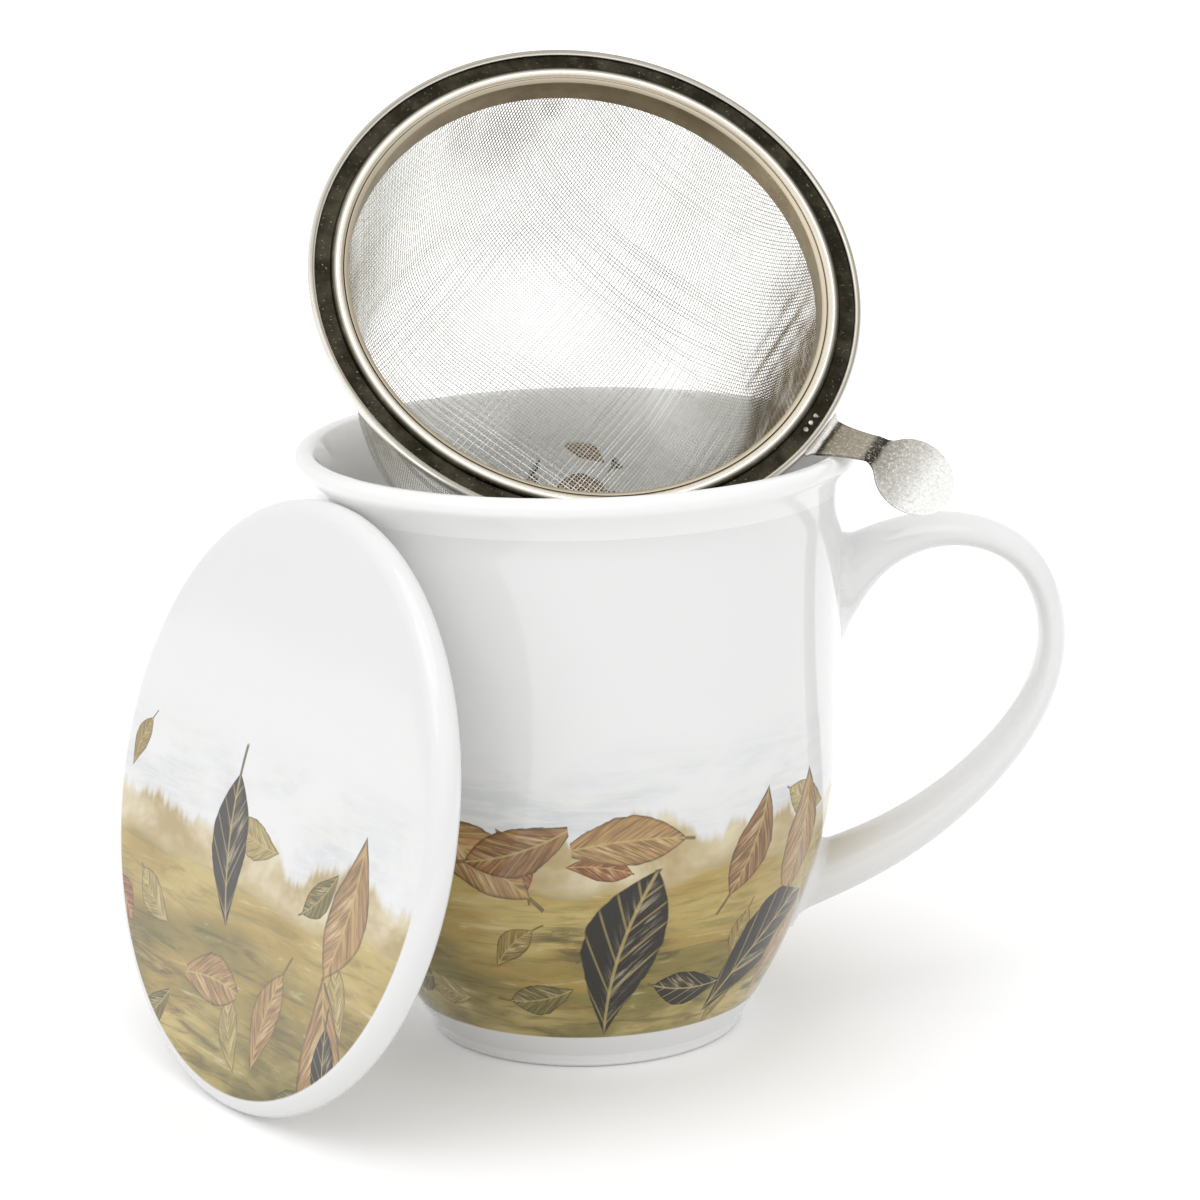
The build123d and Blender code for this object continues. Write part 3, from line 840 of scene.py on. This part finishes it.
def bandOutline():
    # the band, the clamped edge of the cloth and its seat in the skirt close up into one lip
    inner, outer = infuser["bandInner"], infuser["bandInner"] + infuser["bandSheet"]
    bottom, top = infuser["bandTop"] - infuser["bandDepth"], infuser["bandTop"] + infuser["bandLip"]
    soft = infuser["bandSoft"]
    outline = [(inner, bottom + soft), (inner + soft, bottom), (outer - soft, bottom), (outer, bottom + soft),
               (outer, top - soft)]
    outline += [(outer - soft * k, top - infuser["lipSlope"] * k * k * soft) for k in range(5)]
    outline += [(inner + soft / 2, top - 2.2 * soft), (inner, top - 4 * soft), (inner, (top + bottom) / 2)]
    return outline


# lip is lighter than the band: painted light in the shaded crevice under the bead
bandTones = {
    "plain": (0.31, 0.25, 0.155), "stain": (0.21, 0.16, 0.092), "drawn": (0.46, 0.40, 0.29),
    "lip": (0.42, 0.37, 0.28),
}


def bandMetal():
    material, tree, shader = newMaterial("bandMetal", Metallic=1.0, Roughness=0.36)
    height = axisOf(tree, mapSpot(tree, "section"), 1)
    along = vectorOf(tree, axisOf(tree, mapSpot(tree, "polar"), 0), height)
    drawn = grain(tree, stretched(tree, along, (60, 9000, 1)), 1.0, 4, 0.6)
    stain = grain(tree, objectSpot(tree), 120, 4, 0.6)
    colour = brushOn(tree, bandTones["plain"], bandTones["stain"], stain, 0.35, 0.7)
    colour = brushOn(tree, colour, bandTones["drawn"], drawn, 0.4, 0.7, 0.3)
    # the band's top is painted lighter, painted light in the shaded crevice under the bead
    colour = brushOn(tree, colour, bandTones["lip"], height, 0.0002, 0.0008)
    feed(tree, shader, Base_Color=colour)
    bumpFrom(tree, shader, drawn, 0.25, 0.0001)
    return material


bandPiece = hollowRing("clampBand", bandOutline(), infuser["steps"])
polarMap(bandPiece)
place(bandPiece, infuserPlace)
finishPiece(bandPiece, bandMetal(), "infuser", "infuser_band", 40)
print("clamp band:", len(bandPiece.data.polygons), "faces")


# the woven cup, sizes in mm: a flat cloth drawn down into a cup, with the pleats that it takes on the slant
cloth = {
    "pitch": 0.62, "wire": 0.085, "lift": 0.06, "slant": 45.0, "floorRadius": 32.267, "floorLevel": -48.825,
    "corner": 15.825, "taper": 9.7, "topRadius": 39.925, "shoulder": -4.71, "top": -1.0, "stretch": 1.45,
    "pleat": 0.4, "pleatHalf": 9.0, "pleatTurn": 0.1, "pleatRise": 24.0, "pleatStop": 1.5, "pleatFade": 6.0,
}


def cupPoint(length):
    # the cup's section by its length from the middle of the floor: radius, height and outward way
    lean, corner, level = radians(cloth["taper"]), cloth["corner"], cloth["floorLevel"]
    bend = pi / 2 - lean
    tangentRun = corner * tan(bend / 2)
    start = cloth["floorRadius"] - tangentRun
    if length < start:
        return length, level, 0.0, -1.0
    if length < start + 2 * tangentRun:
        turn = (length - start) / (2 * tangentRun) * bend
        return start + corner * sin(turn), level + corner * (1 - cos(turn)), sin(turn), -cos(turn)
    climb = length - cloth["floorRadius"]
    height = level + climb * cos(lean)
    if height < cloth["shoulder"]:
        return cloth["floorRadius"] + climb * sin(lean), height, cos(lean), -sin(lean)
    return cloth["topRadius"], height, 1.0, 0.0


def clothSpot(across, along, lift):
    # a place in the flat cloth, drawn down into the cup; the cloth puckers where it is pulled on the slant
    flat, floor = hypot(across, along), cloth["floorRadius"]
    length = flat if flat < floor else floor + (flat - floor) * cloth["stretch"]
    turn = atan2(along, across)
    radius, height, outR, outH = cupPoint(length)
    offSlant = degrees(turn) % 90 - 45
    window = max(0.0, 1 - abs(offSlant) / cloth["pleatHalf"])
    rise = min(1, max(0.0, length - floor) / cloth["pleatRise"])
    fade = min(1, max(0, (cloth["shoulder"] - cloth["pleatStop"] - height) / cloth["pleatFade"]))
    wave = 0.5 - 0.5 * cos(radians(offSlant) * 2 * pi / cloth["pleatTurn"])
    lift -= cloth["pleat"] * rise * fade * window * wave
    radius += outR * lift
    turn += radians(cloth["slant"])
    return radius * cos(turn), radius * sin(turn), height + outH * lift


def wireRuns():
    # every wire of one family, with a place at each crossing and the way it passes there
    pitch = cloth["pitch"]
    wall = (cloth["top"] - cloth["floorLevel"]) / cos(radians(cloth["taper"]))
    edge = cloth["floorRadius"] + wall / cloth["stretch"]
    count = int(edge / pitch)
    runs = []
    for i in range(-count, count):
        across = (i + 0.5) * pitch
        steps = int(sqrt(max(0, edge ** 2 - across ** 2)) / pitch - 0.5)
        if steps > 1:
            places = range(-steps - 1, steps + 1)
            runs.append([(across, (j + 0.5) * pitch, 1 if (i + j) % 2 else -1) for j in places])
    return runs


def wireMesh(name, runs, swap):
    curve = bpy.data.curves.new(name, "CURVE")
    curve.dimensions = "3D"
    curve.bevel_depth = cloth["wire"] * mm
    curve.bevel_resolution = 0
    curve.use_fill_caps = True
    for run in runs:
        spline = curve.splines.new("POLY")
        spline.points.add(len(run) - 1)
        flat = []
        for across, along, sign in run:
            lift = sign * cloth["lift"]
            spot = clothSpot(along, across, -lift) if swap else clothSpot(across, along, lift)
            flat += [spot[0] * mm, spot[1] * mm, spot[2] * mm, 1.0]
        spline.points.foreach_set("co", flat)
    piece = bpy.data.objects.new(name, curve)
    bpy.context.collection.objects.link(piece)
    pickUp(piece)
    bpy.ops.object.convert(target="MESH")
    piece = bpy.context.object
    markWallShade(piece)
    place(piece, infuserPlace)
    return piece


# turn in degrees, height and reach in mm, strength of each patch of painted shade on the cloth's steep walls
wallShadePatches = (
    (99, -11, 8, 0.9), (88, -6, 3, 1.2), (110, -9, 5, 0.6), (2, -12, 9, 0.8), (-14, -18, 14, 1.6),
    (-34, -22, 16, 1.7), (-56, -22, 13, 1.2), (170, -16, 12, 0.5), (205, -12, 12, 0.5),
)


def markWallShade(piece):
    # how strongly each point of the cloth takes painted shade on the steep walls
    layer = piece.data.attributes.new(name="stain", type="FLOAT", domain="POINT")
    values = []
    for vertex in piece.data.vertices:
        x, y, z = vertex.co / mm
        radius = hypot(x, y)
        total = 0.0
        for turn, height, wide, strength in wallShadePatches:
            away = (x - radius * cos(radians(turn)), y - radius * sin(radians(turn)), 0.6 * (z - height))
            total = max(total, strength * (1 - (hypot(*away) / wide) ** 2))
        values.append(min(1.0, total))
    layer.data.foreach_set("value", values)


# stain is the colour of the painted shade on the cloth's steep walls
wireTones = {
    "bright": (0.79, 0.79, 0.755), "dull": (0.68, 0.67, 0.62), "rubbed": (0.42, 0.40, 0.34),
    "stain": (0.25, 0.20, 0.13),
}


def wireMetal():
    material, tree, shader = newMaterial("wireMetal", Metallic=1.0, Roughness=0.45)
    spot = objectSpot(tree)
    cloud = grain(tree, spot, 90, 4, 0.6)
    fine = grain(tree, spot, 700, 3, 0.6)
    colour = brushOn(tree, wireTones["bright"], wireTones["dull"], cloud, 0.35, 0.7)
    colour = brushOn(tree, colour, wireTones["rubbed"], fine, 0.5, 0.75, 0.35)
    # painted shade on the cup's steep walls, broken up by noise
    wallShadeMask = times(tree, markOf(tree, "stain"), ease(tree, grain(tree, spot, 200, 4, 0.6, 0.5), 0.15, 0.6))
    feed(tree, shader, Base_Color=blendColour(tree, wallShadeMask, colour, wireTones["stain"]))
    return material


clothMetal = wireMetal()
wires = wireRuns()
half = len(wires) // 2
for name, runs, swap in (("wireWarpA", wires[:half], False), ("wireWarpB", wires[half:], False),
                         ("wireWeftA", wires[:half], True), ("wireWeftB", wires[half:], True)):
    piece = wireMesh(name, runs, swap)
    finishPiece(piece, clothMetal, "infuser", "infuser_mesh", 80)
    print(name, len(runs), "wires,", len(piece.data.polygons), "faces")


# the lifting tab, sizes in mm out from the ring's axis, angles in degrees
tab = {
    "thick": 0.6, "lap": 2.6, "rootWide": 10.0, "neckWide": 7.7, "armWide": 5.4, "firstBend": 1.0,
    "armReach": 7.9, "armAngle": 32.0, "paddleReach": 7.8, "paddleAngle": -6.0, "bend": 1.0,
    "paddle": 6.8, "paddleRound": 3.0, "heading": -41.4, "stations": 150, "soft": 0.16,
}
tab["level"] = -infuser["hemHigh"] - (infuser["sheet"] + tab["thick"]) / 2
tab["start"] = infuser["flange"] - tab["lap"]
tab["bendAt"] = infuser["flange"] + tab["firstBend"]
tab["crest"] = tab["bendAt"] + tab["armReach"]
tab["middle"] = tab["crest"] + tab["paddleReach"]
tab["end"] = tab["middle"] + tab["paddle"]


def tabHalfWidth(reach):
    # seen from above: a wide root, a tapering arm and a round paddle with filleted shoulders
    if reach < infuser["flange"]:
        wide, narrow, t = tab["rootWide"], tab["rootWide"], 0
    elif reach < tab["bendAt"]:
        wide, narrow, t = tab["rootWide"], tab["neckWide"], (reach - infuser["flange"]) / tab["firstBend"]
    else:
        wide, narrow, t = tab["neckWide"], tab["armWide"], min(1, (reach - tab["bendAt"]) / tab["armReach"])
    half = (wide + (narrow - wide) * t * (2 - t)) / 2
    # the fillet circle touches the arm's side and the paddle
    lift = tab["armWide"] / 2 + tab["paddleRound"]
    both = tab["paddle"] + tab["paddleRound"]
    away = sqrt(both ** 2 - lift ** 2)
    gap = tab["middle"] - reach
    if away > gap > away * tab["paddle"] / both:
        return lift - sqrt(max(0, tab["paddleRound"] ** 2 - (away - gap) ** 2))
    if gap < away:
        return sqrt(max(0, tab["paddle"] ** 2 - gap ** 2))
    return half


def tabSideView():
    armRise = tab["armReach"] * tan(radians(tab["armAngle"]))
    endRise = armRise + (tab["end"] - tab["crest"]) * tan(radians(tab["paddleAngle"]))
    corners = [(tab["start"], tab["level"]), (tab["bendAt"], tab["level"]),
               (tab["crest"], tab["level"] + armRise), (tab["end"], tab["level"] + endRise)]
    return roundedPath(corners, tab["bend"], 10)


def tabStations():
    # the side view resampled, closer together towards the paddle's end
    path = tabSideView()
    length = tab["end"] - 0.001 - tab["start"]
    out = []
    for i in range(tab["stations"] + 1):
        share = i / tab["stations"]
        if share >= 0.5:
            share = 0.5 + 0.5 * sin((share - 0.5) * pi)
        reach = tab["start"] + length * share
        for (a, leftA), (b, leftB) in zip(path, path[1:]):
            if a.x <= reach <= b.x:
                t = (reach - a.x) / (b.x - a.x)
                out.append((a * (1 - t) + b * t, (leftA * (1 - t) + leftB * t).normalized()))
                break
    return out


def tabRing(spot, left, halfWide):
    # rounded oblong across the strip
    soft = min(tab["soft"], halfWide * 0.9)
    flat, thick, spans = halfWide - soft, tab["thick"] / 2, 10
    ring = []
    for start, hand, side in ((0, 1, 1), (90, -1, 1), (180, -1, -1), (270, 1, -1)):
        for k in range(5):
            turn = radians(start + 90 * k / 4)
            over = side * (thick - tab["soft"]) + tab["soft"] * sin(turn)
            ring.append((flat * hand + soft * cos(turn), over))
        if start in (0, 180):
            ring += [(flat * (1 - 2 * k / spans) * hand, thick * side) for k in range(1, spans)]
    return [Vector((spot.x + left.x * over, across, spot.y + left.y * over)) for across, over in ring]


# the tab's painted light and shade by reach from the ring's axis in mm: a bright flat root, near-black
# painted reflections in the two bends, a shaded arm and a paddle painted brighter
tabPaintedLight = (
    (tab["start"], (0.80, 0.80, 0.77)), (infuser["flange"] + 0.3, (0.72, 0.71, 0.68)),
    (tab["bendAt"] + 0.3, (0.07, 0.06, 0.045)), (tab["bendAt"] + 1.3, (0.27, 0.235, 0.18)),
    (tab["crest"] - 1.3, (0.33, 0.30, 0.24)), (tab["crest"] - 0.3, (0.03, 0.026, 0.02)),
    (tab["crest"] + 0.9, (0.02, 0.017, 0.012)), (tab["crest"] + 1.9, (0.33, 0.31, 0.27)),
    (tab["crest"] + 5.5, (0.52, 0.50, 0.46)), (tab["middle"] + 3.0, (0.86, 0.86, 0.83)),
)
# speckle colours of the arm and the paddle follow the painted light, lighter on the paddle; dent is the
# colour of the dents
tabFlecks = {"arm": (0.62, 0.58, 0.50), "paddle": (0.96, 0.96, 0.94), "dent": (0.20, 0.185, 0.155)}


def tabMetal():
    # tumbled sheet, finely speckled and dented, under painted light: a shaded arm, near-black painted
    # reflections in the creases and a painted bright paddle
    material, tree, shader = newMaterial("tabMetal", Metallic=1.0)
    strip = mapSpot(tree, "face")
    blotch = grain(tree, strip, 330, 4, 0.6)
    speckle = grain(tree, strip, 3400, 4, 0.6)
    scuff = grain(tree, stretched(tree, strip, (350, 2800, 1)), 1.0, 4, 0.6)
    coarse = grain(tree, strip, 1700, 4, 0.65)
    # the reach along the strip, a little uneven
    waver = 0.0009
    reach = scaleAdd(tree, blotch, waver, calc(tree, "SUBTRACT", axisOf(tree, strip, 0), waver / 2))
    start, crest, end = tab["start"], tab["crest"] * mm, tab["end"]
    # painted light and shade along the reach
    stops = [((spot - start) / (end - start), colour) for spot, colour in tabPaintedLight]
    tone = rampBy(tree, reach, start * mm, end * mm, stops)
    fleck = brushOn(tree, tabFlecks["arm"], tabFlecks["paddle"], reach, crest - 0.001, crest + 0.004)
    past = ease(tree, reach, infuser["flange"] * mm, tab["bendAt"] * mm)
    fine = times(tree, past, times(tree, ease(tree, speckle, 0.56, 0.70), 0.55))
    broad = times(tree, past, times(tree, ease(tree, coarse, 0.52, 0.66), 0.45))
    tone = blendColour(tree, broad, blendColour(tree, fine, tone, fleck), fleck)
    fade = scaleAdd(tree, ease(tree, reach, end * mm, tab["middle"] * mm), 0.28, 0.08)
    dents = times(tree, ease(tree, coarse, 0.50, 0.36), past, fade)
    sides = scaleAdd(tree, calc(tree, "ABSOLUTE", axisOf(tree, strip, 1)), 6.0, 0.16)
    feed(tree, shader, Base_Color=blendColour(tree, dents, tone, tabFlecks["dent"]),
         Roughness=scaleAdd(tree, blotch, 0.2, sides))
    bumpFrom(tree, shader, calc(tree, "ADD", speckle, scaleAdd(tree, blotch, 1.6, scuff)), 0.3, 0.00015)
    return material


tabPlace = infuserPlace @ Matrix.Rotation(radians(tab["heading"]), 4, "Z")
tabRings = [tabRing(spot, left, max(0.05, tabHalfWidth(spot.x))) for spot, left in tabStations()]
tabPiece = ringLoft("liftingTab", tabRings)
flatMap(tabPiece)
place(tabPiece, tabPlace)
finishPiece(tabPiece, tabMetal(), "infuser", "infuser_tab", 45)
print("tab:", len(tabPiece.data.polygons), "faces")


# the spot welds over the tab's root, in mm
welds = {
    "radius": 0.4365, "height": 0.15, "sunk": 0.05, "pitch": 1.6, "count": 3, "steps": 28,
    "burnt": (0.10, 0.09, 0.07), "bright": (0.62, 0.58, 0.52),
}


def weldMetal():
    material, tree, shader = newMaterial("weldMetal", Metallic=1.0, Roughness=0.4)
    burn = grain(tree, objectSpot(tree), 2500, 4, 0.6)
    feed(tree, shader, Base_Color=brushOn(tree, welds["burnt"], welds["bright"], burn, 0.35, 0.65))
    return material


def weldOutline():
    radius, height = welds["radius"], welds["height"]
    dome = [(radius * cos(radians(a)), height * sin(radians(a))) for a in (15, 30, 45, 60, 75, 85)]
    return [(radius, -welds["sunk"]), (radius, 0.0)] + dome


weldTone = weldMetal()
panInner = infuser["skirtRadius"] + infuser["beadWide"]
panOuter = infuser["flange"] - infuser["sheet"] / 2 - infuser["hemWide"]
for index in range(welds["count"]):
    across = (index - (welds["count"] - 1) / 2) * welds["pitch"]
    spot = Vector(((panInner + panOuter) / 2, across, infuser["sheet"] / 2)) * mm
    weld = turnedPiece("weldSpot" + str(index + 1), weldOutline(), welds["steps"])
    place(weld, tabPlace @ Matrix.Translation(spot))
    finishPiece(weld, weldTone, "infuser", "infuser_welds", 60)
print("welds:", welds["count"])


# table, light and camera, in metres; each lamp has its place, what it points at, its size and its power
studio = {
    "floorSize": 30.0, "floorTone": 0.90, "glowBase": 0.13, "glowFull": 0.5, "glowNear": 0.03,
    "glowFar": 0.24, "worldLight": 0.80,
    "lamps": {
        "keyLight": ((-0.55, -0.6, 0.95), (0, 0, 0.06), 0.7, 1.2),
        "fillLight": ((0.9, -0.45, 0.6), (0, 0, 0.06), 0.8, 0.4),
        "frontLight": ((0.05, -1.0, 0.85), (0, 0, 0.07), 1.0, 0.7),
        "topLight": ((-0.1, -0.3, 1.3), (0, 0, 0.07), 1.2, 3.4),
    },
    "cameraSpot": (0, -0.679207, 0.2427215), "yaw": 0.0051, "pitch": 0.2437, "roll": -0.0189, "lens": 124.353,
}


def paleFloor():
    # pale near the object, where it takes the soft shadow, and fading to white further out for the camera
    startFresh()
    bpy.ops.mesh.primitive_plane_add(size=studio["floorSize"], location=(0, 0, 0))
    floor = bpy.context.object
    floor.name = "floor"
    tone = (studio["floorTone"],) * 3 + (1,)
    material, tree, shader = newMaterial("paleFloor", Roughness=0.6, Specular_IOR_Level=0.1, Base_Color=tone,
                                         Emission_Color=(1, 1, 1, 1))
    away = vectorCalc(tree, "LENGTH", objectSpot(tree))
    fade = ease(tree, away, studio["glowNear"], studio["glowFar"])
    glow = scaleAdd(tree, fade, studio["glowFull"], studio["glowBase"])
    feed(tree, shader, Emission_Strength=times(tree, glow, seenPlainly(tree)))
    floor.data.materials.append(material)


def studioWorld():
    world = bpy.data.worlds.new("studioWorld")
    bpy.context.scene.world = world
    world.use_nodes = True
    tree, background = world.node_tree, world.node_tree.nodes["Background"]
    background.inputs["Color"].default_value = (1, 1, 1, 1)
    strength = scaleAdd(tree, seenPlainly(tree), 1.0 - studio["worldLight"], studio["worldLight"])
    feed(tree, background, Strength=strength)


def areaLight(name, spot, target, size, power):
    startFresh()
    bpy.ops.object.light_add(type="AREA", location=spot)
    lamp = bpy.context.object
    lamp.name = name
    lamp.data.shape = "DISK"
    lamp.data.size = size
    lamp.data.energy = power
    lamp.rotation_euler = (Vector(target) - Vector(spot)).to_track_quat("-Z", "Y").to_euler()


def productCamera():
    # turned by yaw, pitch and roll, all in radians
    yaw, pitch, roll = studio["yaw"], studio["pitch"], studio["roll"]
    forward = Vector((sin(yaw) * cos(pitch), cos(yaw) * cos(pitch), -sin(pitch)))
    right = Vector((cos(yaw), -sin(yaw), 0))
    upWay = right.cross(forward)
    rightRolled = right * cos(roll) + upWay * sin(roll)
    upRolled = upWay * cos(roll) - right * sin(roll)
    startFresh()
    bpy.ops.object.camera_add(location=studio["cameraSpot"])
    camera = bpy.context.object
    camera.name = "productCamera"
    camera.rotation_euler = Matrix((rightRolled, upRolled, -forward)).transposed().to_euler()
    camera.data.sensor_width = 36
    camera.data.lens = studio["lens"]
    bpy.context.scene.camera = camera


paleFloor()
studioWorld()
for name, settings in studio["lamps"].items():
    areaLight(name, *settings)
productCamera()
bpy.context.scene.view_settings.view_transform = "Standard"
print("table, light and camera set")
